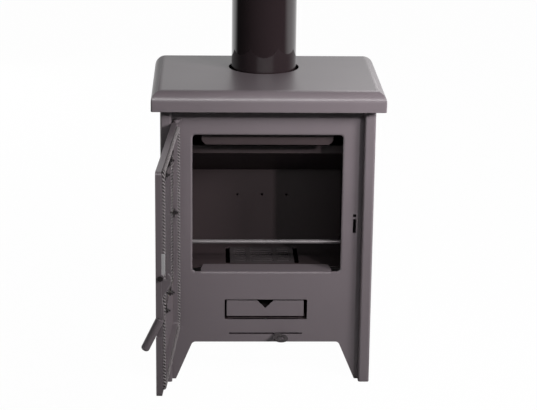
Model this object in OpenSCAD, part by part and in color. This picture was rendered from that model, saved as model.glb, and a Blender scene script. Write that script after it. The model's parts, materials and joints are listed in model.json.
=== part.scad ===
// Compact square wood stove of folded steel plate.
// A deep hood with a round flue through it, folded side panels, a recessed front panel,
// a glazed door on the left with a lever latch, an ash drawer and a swinging air lever.
// Axes: X to the right, Y to the back, Z up. The floor is at Z = 0.

/* [Body] */
// width over the folded side panels
body_w = 418; // [396:1:450]
// height of the hood's lower edge above the floor
body_h = 567; // [545:1:600]
// depth of the side panels, front flange to rear flange
body_d = 287; // [280:1:320]
// thickness of the casing plate
plate_t = 3; // [2:0.5:4]
// width of each front flange
flange_w = 21.7; // [18:0.1:26]
// how far the return of each front flange reaches behind the front panel
return_past = 3; // [2:1:8]
// outside radius of the folds
fold_r = 4.5; // [4.2:0.1:6]
// how far the front panel lies behind the flanges
recess = 18; // [18:0.5:24]

/* [Hood] */
// height of the hood
hood_h = 40; // [34:1:50]
// overhang past each side panel
hood_side = 17; // [12:0.5:24]
// overhang past the front flanges
hood_front = 36; // [30:1:46]
// overhang past the rear flanges
hood_rear = 6.4; // [4:0.1:16]
// bullnose radius round the front and the sides
hood_round = 22; // [18:0.5:26]
// radius of the hood's upright corners
hood_corner = 4.5; // [4.5:0.5:8]
// hole for the flue
hood_hole_d = 141; // [138:1:160]

/* [Flue] */
// outside diameter of the flue pipe
flue_d = 130; // [110:1:134]
// wall of the flue pipe
flue_wall = 2; // [1.5:0.5:3]
// distance of the flue axis in front of the rear flanges
flue_back = 95.6; // [93:0.1:110]
// offset of the flue from the middle of the stove
flue_x = -4.5; // [-8:0.5:8]
// length of flue above the hood
flue_above = 250; // [120:5:400]
// height of the collar that holds the flue
collar_h = 30; // [20:1:34]

/* [Front panel] */
// width of the firebox opening
opening_w = 294; // [250:1:300]
// distance of the firebox opening below the hood
opening_drop = 58.5; // [55:0.5:95]
// lower edge of the firebox opening
opening_z = 228; // [222:1:234]
// corner radius of the firebox opening
opening_r = 7; // [4:0.5:12]
// width of the ash drawer's opening
hatch_w = 165; // [140:1:170]
// height of the ash drawer's opening
hatch_h = 42.5; // [36:0.5:46]
// lower edge of the ash drawer's opening
hatch_z = 127; // [124:1:132]
// width of the slit for the air lever
slit_w = 147; // [120:1:154]
// height of the slit for the air lever
slit_h = 3.4; // [3.2:0.1:5]
// middle of the slit above the floor
slit_z = 97.4; // [94:0.1:100]
// clear height of the arch between the feet
arch_h = 79.6; // [60:0.2:86]
// width of the arch at its top
arch_w = 293; // [250:1:310]
// width of each foot of the front panel at the floor
foot_w = 7.3; // [5:0.1:9]
// fillet at the top corners of the arch
arch_r = 9; // [5:1:14]
// distance of the latch slot's middle from the right flange
latch_in = 14.1; // [13.9:0.1:14.7]
// width of the latch slot
latch_slot_w = 6.1; // [5.6:0.1:7]
// height of the bar across the latch slot
strike_z = 340; // [330:1:350]
// thickness of that bar
strike_t = 4; // [3:0.5:5]
// depth of the tongue folded inwards at the opening's lower edge
tongue_d = 45; // [30:1:46]
// width of the relief cut at each end of the tongue
tongue_relief = 17; // [12:0.5:20]
// outside radius of the tongue's fold
tongue_r = 4; // [3.5:0.5:6]

/* [Firebox] */
// air gap between the firebox and each side panel
side_gap = 37; // [34:1:41]
// air gap between the firebox and the back panel
rear_gap = 15; // [12:1:18]
// thickness of the firebox plate
firebox_t = 4; // [3:0.5:6]
// height of the firebox roof's upper face above the opening
roof_rise = 40.5; // [34:0.5:46]
// height of the back liner
liner_h = 155; // [120:1:160]
// thickness of the back liner
liner_t = 6; // [4:0.5:8]
// air channel behind the back liner
liner_gap = 26; // [20:1:30]
// air hole in the back liner
liner_hole_d = 5; // [4:0.5:8]
// pitch of the three air holes
liner_hole_pitch = 51.4; // [40:0.2:60]
// height of the air holes above the firebox floor
liner_hole_z = 101; // [80:1:110]
// distance of the baffle's lip behind the front panel
baffle_y = 65; // [60:1:80]
// height of the baffle's lip
lip_h = 16; // [10:1:20]
// slope of the baffle, falling to the back
baffle_slope = 27.2; // [20:0.2:32]
// thickness of the baffle
baffle_t = 5; // [4:0.5:6]
// distance of the deflector behind the front panel
deflector_y = 19; // [14:1:22]
// how far the deflector hangs below the opening's upper edge
deflector_drop = 25; // [15:1:30]

/* [Log guard] */
// diameter of the loose bar
guard_d = 8; // [6:0.5:12]
// distance of the bar behind the front panel
guard_y = 32; // [26:1:40]
// height of the bar above the firebox floor
guard_z = 55; // [40:1:70]

/* [Grate] */
// width of the loose grate
grate_w = 130; // [110:1:140]
// depth of the loose grate
grate_d = 104; // [90:1:110]
// thickness of the grate
grate_t = 10; // [8:1:14]
// distance of the grate's front edge behind the front panel
grate_y = 62; // [56:1:70]
// offset of the grate from the middle of the stove
grate_x = -6; // [-8:1:8]
// gap at each end of the grate
grate_gap = 9; // [6:1:12]
// width of the grate's slots
grate_slot = 6; // [5:0.5:8]
// rows of slots in the grate
grate_rows = 6; // [4:1:6]

/* [Ash drawer] */
// width of the drawer front
drawer_w = 154.5; // [134:0.5:158]
// offset of the drawer from the middle of the stove
drawer_x = -1.3; // [-2:0.1:2]
// how far the drawer front stands back in its opening
drawer_recess = 3.2; // [1:0.1:4]
// height of the drawer front
drawer_h = 33; // [30:0.5:35]
// free space behind the ash pan
pan_gap = 33.5; // [28:0.5:70]
// height of the ash pan's walls
pan_h = 35; // [28:1:37]
// width of the finger notch
notch_w = 33; // [26:1:40]
// depth of the finger notch
notch_h = 16.5; // [12:0.5:20]
// depth of the finger pocket behind the notch
pocket_d = 22; // [18:1:30]
// thickness of the drawer's plate
pan_t = 1.5; // [1:0.5:2.5]

/* [Air lever] */
// distance of the shutter's pivot behind the plane of the flanges
pivot_y = 93; // [90:1:100]
// length from the pivot to the middle of the ring
lever_len = 100; // [97:1:104]
// width of the lever
lever_w = 14; // [10:1:18]
// thickness of the lever and shutter
lever_t = 2.5; // [2:0.1:2.7]
// outside diameter of the ring
ring_d = 30; // [26:1:32]
// hole in the ring
ring_hole_d = 14; // [10:1:18]
// angle that the ring is bent down
ring_bend = 9; // [0:1:15]
// angle of the lever from the straight-ahead position
lever_rest = 17; // [0:0.1:24]
// diameter of the shutter disc
shutter_d = 76; // [70:1:84]
// diameter of the air holes
air_hole_d = 18; // [12:1:20]
// radius of the ring of air holes
air_ring_r = 24; // [22:0.5:25]

/* [Door] */
// distance of the hinge axis from the left flange
hinge_in = 7.3; // [7:0.1:7.8]
// gap between the door and each flange
door_gap = 8.8; // [8.6:0.1:9.2]
// angle that the door stands open
door_open = 93.7; // [0:0.1:96]
// height of the door's lower edge
door_z = 114; // [112:1:118]
// distance of the door's upper edge below the hood
door_drop = 30; // [28:1:40]
// depth of the door's tray
door_d = 10.5; // [9:0.5:12]
// thickness of the door's plate
door_t = 2; // [1.5:0.1:2.5]
// corner radius of the door
door_r = 6; // [4:0.5:7]
// distance of the glass from the door's hinge edge
glass_hinge_side = 37.5; // [36:0.5:46]
// distance of the glass from the door's latch edge
glass_latch_side = 37.5; // [36.5:0.5:56]
// distance of the glass below the door's upper edge
glass_drop = 45; // [24:0.5:50]
// thickness of the glass
glass_t = 4; // [3:0.5:5]
// lower edge of the glass
glass_z = 238; // [234:1:258]
// how far the plate overlaps the glass all round
glass_lap = 11; // [8:0.5:14]
// thickness of the flat gasket under the glass
gasket_t = 1; // [0.5:0.1:1.5]
// diameter of the rope seal
rope_d = 10; // [8:0.5:10.5]
// diameter of the hinge pins
hinge_pin_d = 4.9; // [4:0.1:5.2]
// length of each hinge knuckle
knuckle_h = 20; // [14:1:26]

/* [Latch] */
// thickness of the latch lever
latch_t = 4; // [3:0.1:4.6]
// diameter of the pivot bolt
bolt_d = 6; // [5:0.5:7]
// diameter of the grip
grip_d = 15.6; // [12:0.2:16]
// length of the grip
grip_len = 66; // [50:1:80]
// angle that the grip leans out from the door
grip_lean = 25.7; // [15:0.1:35]

/* [Hidden] */
$fn = 64;

// clearances
seat = 0.3;             // between a loose or round piece and its seat
running = 0.05;         // radial, a pin in its bore
over = 1;               // how far a cutting shape runs past a face

// body
half_w = body_w / 2;
flange_edge = half_w - flange_w;
panel_half = flange_edge;
panel_back = recess + plate_t;
return_end = panel_back + return_past;
tongue_half = opening_w / 2 - tongue_relief;
tongue_end = panel_back + tongue_d;
tongue_lap = 4;         // how far the tongue lies on the firebox floor
hood_top = body_h + hood_h;
hood_under = hood_top - plate_t;
side_top = hood_under - over;
rear_lap = 20;          // width of the rear flanges
rear_front = body_d - plate_t;
back_panel_front = rear_front - plate_t;
flue_y = body_d - flue_back;

// firebox
opening_half = opening_w / 2;
opening_top = body_h - opening_drop;
firebox_half = half_w - plate_t - side_gap - firebox_t;
floor_top = opening_z - plate_t;
floor_under = floor_top - firebox_t;
firebox_end = back_panel_front - rear_gap - firebox_t;
roof_z = opening_top + roof_rise;
roof_under = roof_z - firebox_t;
liner_front = firebox_end - liner_gap - liner_t;
liner_top = floor_top + liner_h;
lip_y = panel_back + baffle_y;
baffle_run = liner_front - lip_y;
lip_z = liner_top + baffle_run * tan(baffle_slope);
guard_axis_y = panel_back + guard_y;
guard_axis_z = floor_top + guard_z;
guard_slot_r = guard_d / 2 + seat;
bracket_w = 10;
bracket_below = 18;     // how far each bracket reaches below the bar's axis
bracket_above = 10;
spacer_in = 40;         // inset of the spacers from the ends of the firebox
spacer_r = 8;
spacer_low = 55;        // height of the lower spacers above the firebox floor

// grate
grate_front = panel_back + grate_y;
ledge = 8;              // how far each ledge reaches under the grate
ledge_t = 4;

// ash chamber and drawer
slit_under = slit_z - slit_h / 2;
chamber_under = slit_z + lever_t / 2 + seat;
chamber_t = 3;
chamber_half = hatch_w / 2 + 3.5;
chamber_back = firebox_end - 4;
shutter_bolt_r = 4;
bolt_head = 3;
bolt_under = slit_z - lever_t / 2 - seat - bolt_head;
air_box_t = 2;
rail_w = 20;
rail_t = 3;
drawer_z = hatch_z + 6.3;
pan_z = hatch_z + over;
pan_half = drawer_w / 2 - 2.5;
drawer_face = recess + drawer_recess;
drawer_t = 2.5;
pan_front = drawer_face + drawer_t;
pan_back = chamber_back - chamber_t - pan_gap;

// door, drawn shut and then swung open
hinge_x = -flange_edge + hinge_in;
hinge_y = 7;
door_face = 1;          // plane of the shut door's outer face
door_half = flange_edge - door_gap;
door_back = door_face + door_d;
skin_back = door_face + door_t;
door_top = body_h - door_drop;
rim_half = door_half - door_t;
rim_low = door_z + door_t;
rim_high = door_top - door_t;
glass_low = glass_z;
glass_high = door_top - glass_drop;
glass_left = -door_half + glass_hinge_side;
glass_right = door_half - glass_latch_side;
glass_x = (glass_left + glass_right) / 2;
glass_middle = (glass_low + glass_high) / 2;
glass_front = skin_back + gasket_t;
glass_back = glass_front + glass_t;
knuckle_r = hinge_pin_d / 2 + running + 1.5;
pin_plate_t = 4;
pin_plate_r = 6;        // round end of each hinge plate
pin_plate_in = 12;      // how far each hinge plate reaches in from the axis
knuckle_foot = 4.5;     // width of the block that joins a knuckle to the door
lip_t = 1.6;            // thickness of the rope channel's lips
rope_r = rope_d / 2;
rope_bend = 12;         // corner radius of the rope's middle line
rope_y = recess - 0.5 - rope_r;
rope_low = rim_low + seat + rope_r;
rope_high = rim_high - seat - rope_r;
rope_left = hinge_x + knuckle_r + 1.5 + rope_r;
slot_x = flange_edge - latch_in;
latch_x = slot_x + 0.4;
lip_right = latch_x - grip_d / 2 - 0.4;
rope_right = lip_right - lip_t - seat - rope_r;
lip_back = rope_y;

// latch
bolt_y = 9.5;
bolt_z = strike_z + 1;
bolt_r = bolt_d / 2;
eye_r = 6.5;
arm_w = 9;
grip_top_y = 8;
grip_top_z = bolt_z - 79;
grip_r = grip_d / 2;
slot_half = 3.5;        // half width of the slots in the door's plate
ear_t = 1.6;
ear_x = latch_x - latch_t / 2 - 1 - ear_t;
notch_low = grip_top_z - 34;
notch_high = grip_top_z + 4;

// the origin lies under the middle of the stove as it stands, door open
function swung(x, y) = [
  hinge_x + (x - hinge_x) * cos(door_open) + (y - hinge_y) * sin(door_open),
  hinge_y - (x - hinge_x) * sin(door_open) + (y - hinge_y) * cos(door_open)
];
grip_round = 5;
tip_y = grip_top_y - grip_len * sin(grip_lean);
tip_front = tip_y - (grip_r - grip_round) * cos(grip_lean)
  - grip_round * (1 - sin(grip_lean));
bolt_head_r = 5.5;
bolt_head_h = 3;
hood_half = half_w + hood_side;
hood_back = body_d + hood_rear;
left_end = min(-hood_half, swung(latch_x, tip_front)[0]);
front_end = min(
  -hood_front,
  pivot_y - lever_len - ring_d / 2,
  swung(door_half + bolt_head_h, bolt_y + bolt_head_r * cos(30))[1],
  swung(latch_x + grip_r, tip_y)[1]
);
centre_x = (left_end + hood_half) / 2;
centre_y = (front_end + hood_back) / 2;

steel_grey = [0.42, 0.41, 0.42];
dark_steel = [0.25, 0.24, 0.25];
zinc = [0.75, 0.76, 0.78];

// ---- helpers ----

module placed() {
  translate([-centre_x, -centre_y, 0])
    children();
}

module swung_open() {
  translate([hinge_x, hinge_y, 0])
    rotate([0, 0, -door_open])
      translate([-hinge_x, -hinge_y, 0])
        children();
}

// an upright sheet: the drawing's axes are X and Z
module upright(front, thick) {
  translate([0, front + thick, 0])
    rotate([90, 0, 0])
      linear_extrude(height = thick)
        children();
}

// a piece drawn from the side: the drawing's axes are Y and Z
module sideways(left, wide) {
  translate([left, 0, 0])
    rotate([90, 0, 90])
      linear_extrude(height = wide)
        children();
}

module block(low, high) {
  translate(low)
    cube(high - low);
}

module rect(x0, x1, y0, y1) {
  translate([x0, y0])
    square([x1 - x0, y1 - y0]);
}

module rounded_rect(x0, x1, y0, y1, r) {
  rect(x0 + r, x1 - r, y0, y1);
  rect(x0, x1, y0 + r, y1 - r);
  for (x = [x0 + r, x1 - r], y = [y0 + r, y1 - r])
    translate([x, y])
      circle(r);
}

module quarter_disc(r) {
  intersection() {
    circle(r);
    square(r);
  }
}

module mirrored() {
  children();
  mirror([1, 0, 0])
    children();
}

// ---- casing ----

// section of the hood across its width, with both top edges rounded
module hood_section(inset, low) {
  r = hood_round - inset;
  flat = hood_half - hood_round;
  level = hood_top - hood_round;
  rect(-flat - r, flat + r, low, level);
  rect(-flat, flat, level, hood_top - inset);
  translate([flat, level])
    quarter_disc(r);
  translate([-flat, level])
    mirror([1, 0])
      quarter_disc(r);
}

// section of the hood along its depth, with the front's top edge rounded
module hood_profile(inset, low) {
  r = hood_round - inset;
  line = hood_round - hood_front;
  level = hood_top - hood_round;
  back = hood_back - inset;
  rect(line - r, back, low, level);
  rect(line, back, level, hood_top - inset);
  translate([line, level])
    mirror([1, 0])
      quarter_disc(r);
}

// plan of the hood, with small corners at the front
module hood_plan(inset) {
  r = hood_corner - inset;
  half = hood_half - inset;
  front = inset - hood_front;
  rect(-half, half, front + r, hood_back - inset);
  rect(r - half, half - r, front, front + r);
  for (x = [r - half, half - r])
    translate([x, front + r])
      circle(r);
}

module hood_form(inset, low) {
  half = hood_half - inset;
  front = inset - hood_front;
  intersection() {
    upright(front, hood_back - inset - front)
      hood_section(inset, low);
    sideways(-half, 2 * half)
      hood_profile(inset, low);
    translate([0, 0, low])
      linear_extrude(height = hood_top - low)
        hood_plan(inset);
  }
}

module hood() {
  placed()
    color(steel_grey)
      difference() {
        hood_form(0, body_h);
        hood_form(plate_t, body_h - over);
        translate([flue_x, flue_y, hood_under - over])
          cylinder(h = plate_t + 2 * over, d = hood_hole_d);
      }
}

// plan of the right side panel: side, front flange with its return, rear flange
module side_plan() {
  bend = fold_r - plate_t;
  rect(half_w - plate_t, half_w, fold_r, body_d - fold_r);
  rect(flange_edge + fold_r, half_w - fold_r, 0, plate_t);
  rect(flange_edge, flange_edge + plate_t, fold_r, return_end);
  rect(half_w - rear_lap, half_w - fold_r, rear_front, body_d);
  translate([half_w - fold_r, fold_r])
    rotate(-90)
      fold_arc(bend);
  translate([flange_edge + fold_r, fold_r])
    rotate(180)
      fold_arc(bend);
  translate([half_w - fold_r, body_d - fold_r])
    fold_arc(bend);
}

module fold_arc(bend) {
  difference() {
    quarter_disc(fold_r);
    circle(bend);
  }
}

module side_panel() {
  difference() {
    linear_extrude(height = side_top)
      side_plan();
    for (z = back_screw_z)
      translate([back_screw_x, body_d + over, z])
        rotate([90, 0, 0])
          cylinder(h = plate_t + 2 * over, r = screw_hole_r);
  }
}

module side_panel_right() {
  placed()
    color(steel_grey)
      side_panel();
}

module side_panel_left() {
  placed()
    color(steel_grey)
      mirror([1, 0, 0])
        side_panel();
}

// outline of the opening under the front panel
module arch_shape() {
  top = arch_w / 2;
  foot = panel_half - foot_w;
  lean = atan2(arch_h, foot - top);
  tangent = arch_r / tan((180 - lean) / 2);
  polygon([
    [-top + tangent, arch_h],
    [top - tangent, arch_h],
    [top + tangent * cos(lean), arch_h - tangent * sin(lean)],
    [foot + over / tan(lean), -over],
    [-foot - over / tan(lean), -over],
    [-top - tangent * cos(lean), arch_h - tangent * sin(lean)]
  ]);
  for (x = [-top + tangent, top - tangent])
    translate([x, arch_h - arch_r])
      circle(arch_r);
}

module front_panel() {
  placed()
    color(steel_grey)
      difference() {
        union() {
          upright(recess, plate_t)
            difference() {
              rect(-panel_half, panel_half, 0, hood_under);
              rounded_rect(-opening_half, opening_half, opening_z, opening_top, opening_r);
              rounded_rect(-hatch_w / 2, hatch_w / 2, hatch_z, hatch_z + hatch_h, 2);
              rect(-slit_w / 2, slit_w / 2, slit_under, slit_under + slit_h);
              arch_shape();
              rect(slot_x - latch_slot_w / 2, slot_x + latch_slot_w / 2,
                strike_z - 31, strike_z - strike_t / 2);
              rect(slot_x - latch_slot_w / 2, slot_x + latch_slot_w / 2,
                strike_z + strike_t / 2, strike_z + 7.6);
            }
          tongue();
        }
        // rounded fold along the tongue
        sideways(-tongue_half, 2 * tongue_half)
          difference() {
            rect(recess - over, recess + tongue_r, opening_z - tongue_r, opening_z + over);
            translate([recess + tongue_r, opening_z - tongue_r])
              circle(tongue_r);
          }
      }
}

// tongue folded in under the opening, with its free corners cut off
module tongue() {
  side = 0.4 * tongue_d;
  cut = 0.1 * tongue_d;
  translate([0, 0, floor_top])
    linear_extrude(height = plate_t)
      polygon([
        [-tongue_half, panel_back],
        [tongue_half, panel_back],
        [tongue_half, panel_back + side],
        [tongue_half - cut, tongue_end],
        [-tongue_half + cut, tongue_end],
        [-tongue_half, panel_back + side]
      ]);
}

back_screw_x = half_w - rear_lap / 2;
back_screw_z = [90, body_h / 2, body_h - 50];
screw_r = 2;
screw_hole_r = screw_r + seat;

module back_panel() {
  placed()
    color(steel_grey)
      upright(back_panel_front, plate_t)
        difference() {
          rect(-half_w + plate_t + 2, half_w - plate_t - 2, arch_h, hood_under);
          for (x = [-back_screw_x, back_screw_x], z = back_screw_z)
            translate([x, z])
              circle(screw_hole_r);
        }
}

module back_screws() {
  placed()
    color(zinc)
      for (x = [-back_screw_x, back_screw_x], z = back_screw_z)
        translate([x, body_d, z])
          rotate([90, 0, 0]) {
            cylinder(h = 2 * plate_t + 3, r = screw_r);
            translate([0, 0, -2.5])
              cylinder(h = 2.5, r = 4);
          }
}

// distance pieces between the firebox and the side panels
module side_spacers() {
  inner = firebox_half + firebox_t;
  outer = half_w - plate_t;
  placed()
    color(dark_steel)
      for (side = [-1, 1], y = [panel_back + spacer_in, firebox_end - spacer_in],
          z = [floor_top + spacer_low, roof_under - spacer_in])
        translate([side * (inner + outer) / 2, y, z])
          rotate([0, 90, 0])
            cylinder(h = outer - inner, r = spacer_r, center = true);
}

// ---- firebox ----

module firebox_side(side) {
  low = side > 0 ? firebox_half : -firebox_half - firebox_t;
  placed()
    color(dark_steel)
      block([low, panel_back, floor_top], [low + firebox_t, firebox_end, roof_under]);
}

module firebox_side_left() {
  firebox_side(-1);
}

module firebox_side_right() {
  firebox_side(1);
}

module firebox_back() {
  wide = firebox_half + firebox_t;
  placed()
    color(dark_steel)
      block([-wide, firebox_end, floor_top], [wide, firebox_end + firebox_t, roof_under]);
}

module firebox_roof() {
  wide = firebox_half + firebox_t;
  placed()
    color(dark_steel)
      difference() {
        block([-wide, panel_back, roof_under], [wide, firebox_end + firebox_t, roof_z]);
        translate([flue_x, flue_y, roof_under - over])
          cylinder(h = firebox_t + 2 * over, d = flue_d - 2 * flue_wall - 4);
      }
}

module firebox_floor() {
  wide = firebox_half + firebox_t;
  placed()
    color(dark_steel)
      difference() {
        block([-wide, panel_back, floor_under], [wide, firebox_end + firebox_t, floor_top]);
        block([grate_x - grate_w / 2 - grate_gap, grate_front - seat, floor_under - over],
          [grate_x + grate_w / 2 + grate_gap, grate_front + grate_d + seat, floor_top + over]);
        // open corners beside the tongue
        mirrored()
          block([tongue_half - tongue_lap, panel_back - over, floor_under - over],
            [opening_half + tongue_lap, tongue_end - tongue_lap, floor_top + over]);
      }
}

module back_liner() {
  placed()
    color(dark_steel)
      upright(liner_front, liner_t)
        difference() {
          rect(-firebox_half + 5, firebox_half - 5, floor_top, liner_top);
          for (i = [-1:1])
            translate([i * liner_hole_pitch - 4, floor_top + liner_hole_z])
              circle(d = liner_hole_d);
        }
}

// lip, slope and a level tab that lies on the liner and closes the air channel
module baffle() {
  rise = baffle_t / cos(baffle_slope);
  wide = firebox_half - seat;
  rest = liner_top + seat;
  end = firebox_end - seat;
  knee = lip_y + (lip_z + rise - rest - baffle_t) / tan(baffle_slope);
  placed()
    color(dark_steel)
      sideways(-wide, 2 * wide)
        polygon([
          [lip_y, lip_z],
          [liner_front, rest],
          [end, rest],
          [end, rest + baffle_t],
          [knee, rest + baffle_t],
          [lip_y + baffle_t, lip_z + rise - baffle_t * tan(baffle_slope)],
          [lip_y + baffle_t, lip_z + lip_h],
          [lip_y, lip_z + lip_h]
        ]);
}

module baffle_rests() {
  peg_r = 4;
  peg_y = lip_y + 14;
  peg_z = lip_z - 14 * tan(baffle_slope) - (peg_r + seat) / cos(baffle_slope);
  placed()
    color(dark_steel)
      for (side = [-1, 1])
        translate([side * (firebox_half - 5), peg_y, peg_z])
          rotate([0, 90, 0])
            cylinder(h = 10, r = peg_r, center = true);
}

module deflector() {
  wide = opening_half - 18;
  level = opening_top + 0.5;
  face = panel_back + deflector_y;
  low = opening_top - deflector_drop;
  cut = 8;
  placed()
    color(dark_steel) {
      block([-wide, panel_back, level], [wide, face, level + plate_t]);
      upright(face, plate_t)
        polygon([
          [-wide, level + plate_t],
          [-wide, low + cut],
          [-wide + cut, low],
          [wide - cut, low],
          [wide, low + cut],
          [wide, level + plate_t]
        ]);
    }
}

module guard_brackets() {
  low = guard_axis_z - bracket_below;
  high = guard_axis_z + bracket_above;
  placed()
    color(dark_steel)
      mirrored()
        sideways(firebox_half - bracket_w, bracket_w)
          difference() {
            rect(guard_axis_y - bracket_w, guard_axis_y + bracket_w, low, high);
            translate([guard_axis_y, guard_axis_z])
              circle(guard_slot_r);
            rect(guard_axis_y - guard_slot_r, guard_axis_y + guard_slot_r,
              guard_axis_z, high + over);
          }
}

module log_guard() {
  placed()
    color(steel_grey)
      translate([0, guard_axis_y, guard_axis_z])
        rotate([0, 90, 0])
          cylinder(h = 2 * (firebox_half - 1.5), d = guard_d, center = true);
}

module grate_ledges() {
  top = floor_top - grate_t;
  wide = grate_w / 2 - 2;
  back = grate_front + grate_d;
  placed()
    color(dark_steel)
      translate([grate_x, 0, 0])
        sideways(-wide, 2 * wide) {
          rect(grate_front - ledge, grate_front + ledge, top - ledge_t, top);
          rect(grate_front - ledge, grate_front - 2 * seat, top, floor_under);
          rect(back - ledge, back + ledge, top - ledge_t, top);
          rect(back + 2 * seat, back + ledge, top, floor_under);
        }
}

module grate() {
  pitch = (grate_d - 2 * ledge - 2) / grate_rows;
  placed()
    color(dark_steel)
      translate([grate_x, grate_front, floor_top - grate_t])
        linear_extrude(height = grate_t)
          difference() {
            rounded_rect(-grate_w / 2, grate_w / 2, 0, grate_d, 3);
            for (i = [0:grate_rows - 1])
              translate([0, ledge + 1 + (i + 0.5) * pitch]) {
                rounded_rect(-grate_w * 0.18, grate_w * 0.18, -grate_slot / 2,
                  grate_slot / 2, grate_slot / 2 - 0.1);
                for (side = [-1, 1])
                  translate([side * grate_w * 0.34, 0])
                    rounded_rect(-grate_w * 0.1, grate_w * 0.1, -grate_slot / 2,
                      grate_slot / 2, grate_slot / 2 - 0.1);
              }
          }
}

// ---- flue ----

module flue_collar() {
  inner = flue_d / 2 + seat;
  placed()
    color(dark_steel)
      translate([flue_x, flue_y, roof_z])
        difference() {
          cylinder(h = collar_h, r = inner + 2.7);
          translate([0, 0, -over])
            cylinder(h = collar_h + 2 * over, r = inner);
        }
}

module flue_pipe() {
  length = hood_top + flue_above - roof_z;
  placed()
    color([0.1, 0.09, 0.09])
      translate([flue_x, flue_y, roof_z])
        difference() {
          cylinder(h = length, d = flue_d);
          translate([0, 0, -over])
            cylinder(h = length + 2 * over, d = flue_d - 2 * flue_wall);
        }
}

// ---- ash chamber, drawer and air shutter ----

module ash_chamber() {
  outer = chamber_half + chamber_t;
  placed()
    color(dark_steel)
      difference() {
        block([-outer, panel_back, chamber_under], [outer, chamber_back, floor_under]);
        block([-chamber_half, panel_back - over, chamber_under + chamber_t],
          [chamber_half, chamber_back - chamber_t, floor_under + over]);
        translate([0, pivot_y, chamber_under - over]) {
          cylinder(h = chamber_t + 2 * over, r = shutter_bolt_r + seat);
          for (a = [45:90:315])
            rotate([0, 0, a])
              translate([air_ring_r, 0, 0])
                cylinder(h = chamber_t + 2 * over, d = air_hole_d);
        }
      }
}

// shallow box behind the slit, which leads the air to the shutter
module air_box() {
  half = slit_w / 2 + 6;
  back = pivot_y + shutter_d / 2 + 8;
  low = bolt_under - 6;
  placed()
    color(dark_steel)
      difference() {
        block([-half - air_box_t, panel_back, low - air_box_t],
          [half + air_box_t, back + air_box_t, chamber_under]);
        block([-half, panel_back - over, low], [half, back, chamber_under + over]);
      }
}

module drawer_rails() {
  top = pan_z - seat;
  placed()
    color(dark_steel)
      mirrored() {
        block([chamber_half - rail_w, panel_back + 4, top - rail_t],
          [chamber_half, firebox_end - 20, top]);
        block([chamber_half - rail_t, panel_back + 4, top - rail_t - 10],
          [chamber_half, firebox_end - 20, top - rail_t]);
      }
}

module ash_pan() {
  back = pan_back;
  top = pan_z + pan_h;
  wall = pan_front + pocket_d;
  placed()
    color(dark_steel)
      translate([drawer_x, 0, 0]) {
        block([-pan_half, pan_front, pan_z], [pan_half, back, pan_z + pan_t]);
        mirrored()
          block([pan_half - pan_t, pan_front, pan_z + pan_t], [pan_half, back, top]);
        block([-pan_half + pan_t, back - pan_t, pan_z + pan_t], [pan_half - pan_t, back, top]);
        block([-pan_half + pan_t, wall, pan_z + pan_t], [pan_half - pan_t, wall + pan_t, top]);
      }
}

module drawer_front() {
  top = drawer_z + drawer_h;
  placed()
    color(steel_grey)
      translate([drawer_x, 0, 0])
        upright(drawer_face, drawer_t)
          difference() {
            rect(-drawer_w / 2, drawer_w / 2, drawer_z, top);
            polygon([
              [-notch_w / 2 - notch_w / (2 * notch_h), top + 1],
              [notch_w / 2 + notch_w / (2 * notch_h), top + 1],
              [0, top - notch_h]
            ]);
          }
}

module shutter_bolt() {
  low = bolt_under + bolt_head;
  top = chamber_under + chamber_t;
  placed()
    color(dark_steel)
      translate([0, pivot_y, 0]) {
        translate([0, 0, bolt_under])
          cylinder(h = bolt_head, r = 7);
        translate([0, 0, low])
          cylinder(h = top - low, r = shutter_bolt_r);
        translate([0, 0, top])
          cylinder(h = 5, r = 7.5, $fn = 6);
      }
}

// plan of the lever: disc with air holes, arm and ring
module lever_plan() {
  difference() {
    union() {
      circle(d = shutter_d);
      rect(-lever_w / 2, lever_w / 2, -lever_len, 0);
      translate([0, -lever_len])
        circle(d = ring_d);
    }
    circle(shutter_bolt_r + running);
    for (a = [45:90:315])
      rotate(a)
        translate([air_ring_r, 0])
          circle(d = air_hole_d);
    translate([0, -lever_len])
      circle(d = ring_hole_d);
  }
}

// the lever's plate from the side, bent down in front of the panel
module lever_side() {
  neck = lever_len - ring_d / 2 - 2;
  end = lever_len + ring_d;
  fall = (end - neck) * tan(ring_bend);
  polygon([
    [shutter_d, 0],
    [-neck, 0],
    [-end, -fall],
    [-end, lever_t / cos(ring_bend) - fall],
    [-neck - lever_t * tan(ring_bend / 2), lever_t],
    [shutter_d, lever_t]
  ]);
}

module air_shutter() {
  placed()
    color(zinc)
      translate([0, pivot_y, slit_z - lever_t / 2])
        rotate([0, 0, lever_rest])
          intersection() {
            linear_extrude(height = 2 * shutter_d, center = true)
              lever_plan();
            sideways(-shutter_d, 2 * shutter_d)
              lever_side();
          }
}

// ---- hinges ----

module hinge_plate_pair() {
  for (z = [door_z - over - pin_plate_t, door_top + over])
    translate([0, 0, z])
      linear_extrude(height = pin_plate_t)
        children();
}

module hinge_plates() {
  placed()
    color(steel_grey)
      hinge_plate_pair()
        difference() {
          union() {
            rect(hinge_x + 0.5, hinge_x + pin_plate_in, hinge_y, recess);
            translate([hinge_x + 2, hinge_y])
              circle(pin_plate_r);
          }
          translate([hinge_x, hinge_y])
            circle(hinge_pin_d / 2 + seat);
        }
}

module hinge_pins() {
  r = hinge_pin_d / 2;
  reach = knuckle_h - 2;
  placed()
    color(dark_steel)
      translate([hinge_x, hinge_y, 0]) {
        translate([0, 0, door_top - reach])
          cylinder(h = reach + over + pin_plate_t, r = r);
        translate([0, 0, door_top + over + pin_plate_t])
          cylinder(h = 2, r = r + 1.5);
        translate([0, 0, door_z - over - pin_plate_t])
          cylinder(h = reach + over + pin_plate_t, r = r);
        translate([0, 0, door_z - over - pin_plate_t - 2])
          cylinder(h = 2, r = r + 1.5);
      }
}

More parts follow.
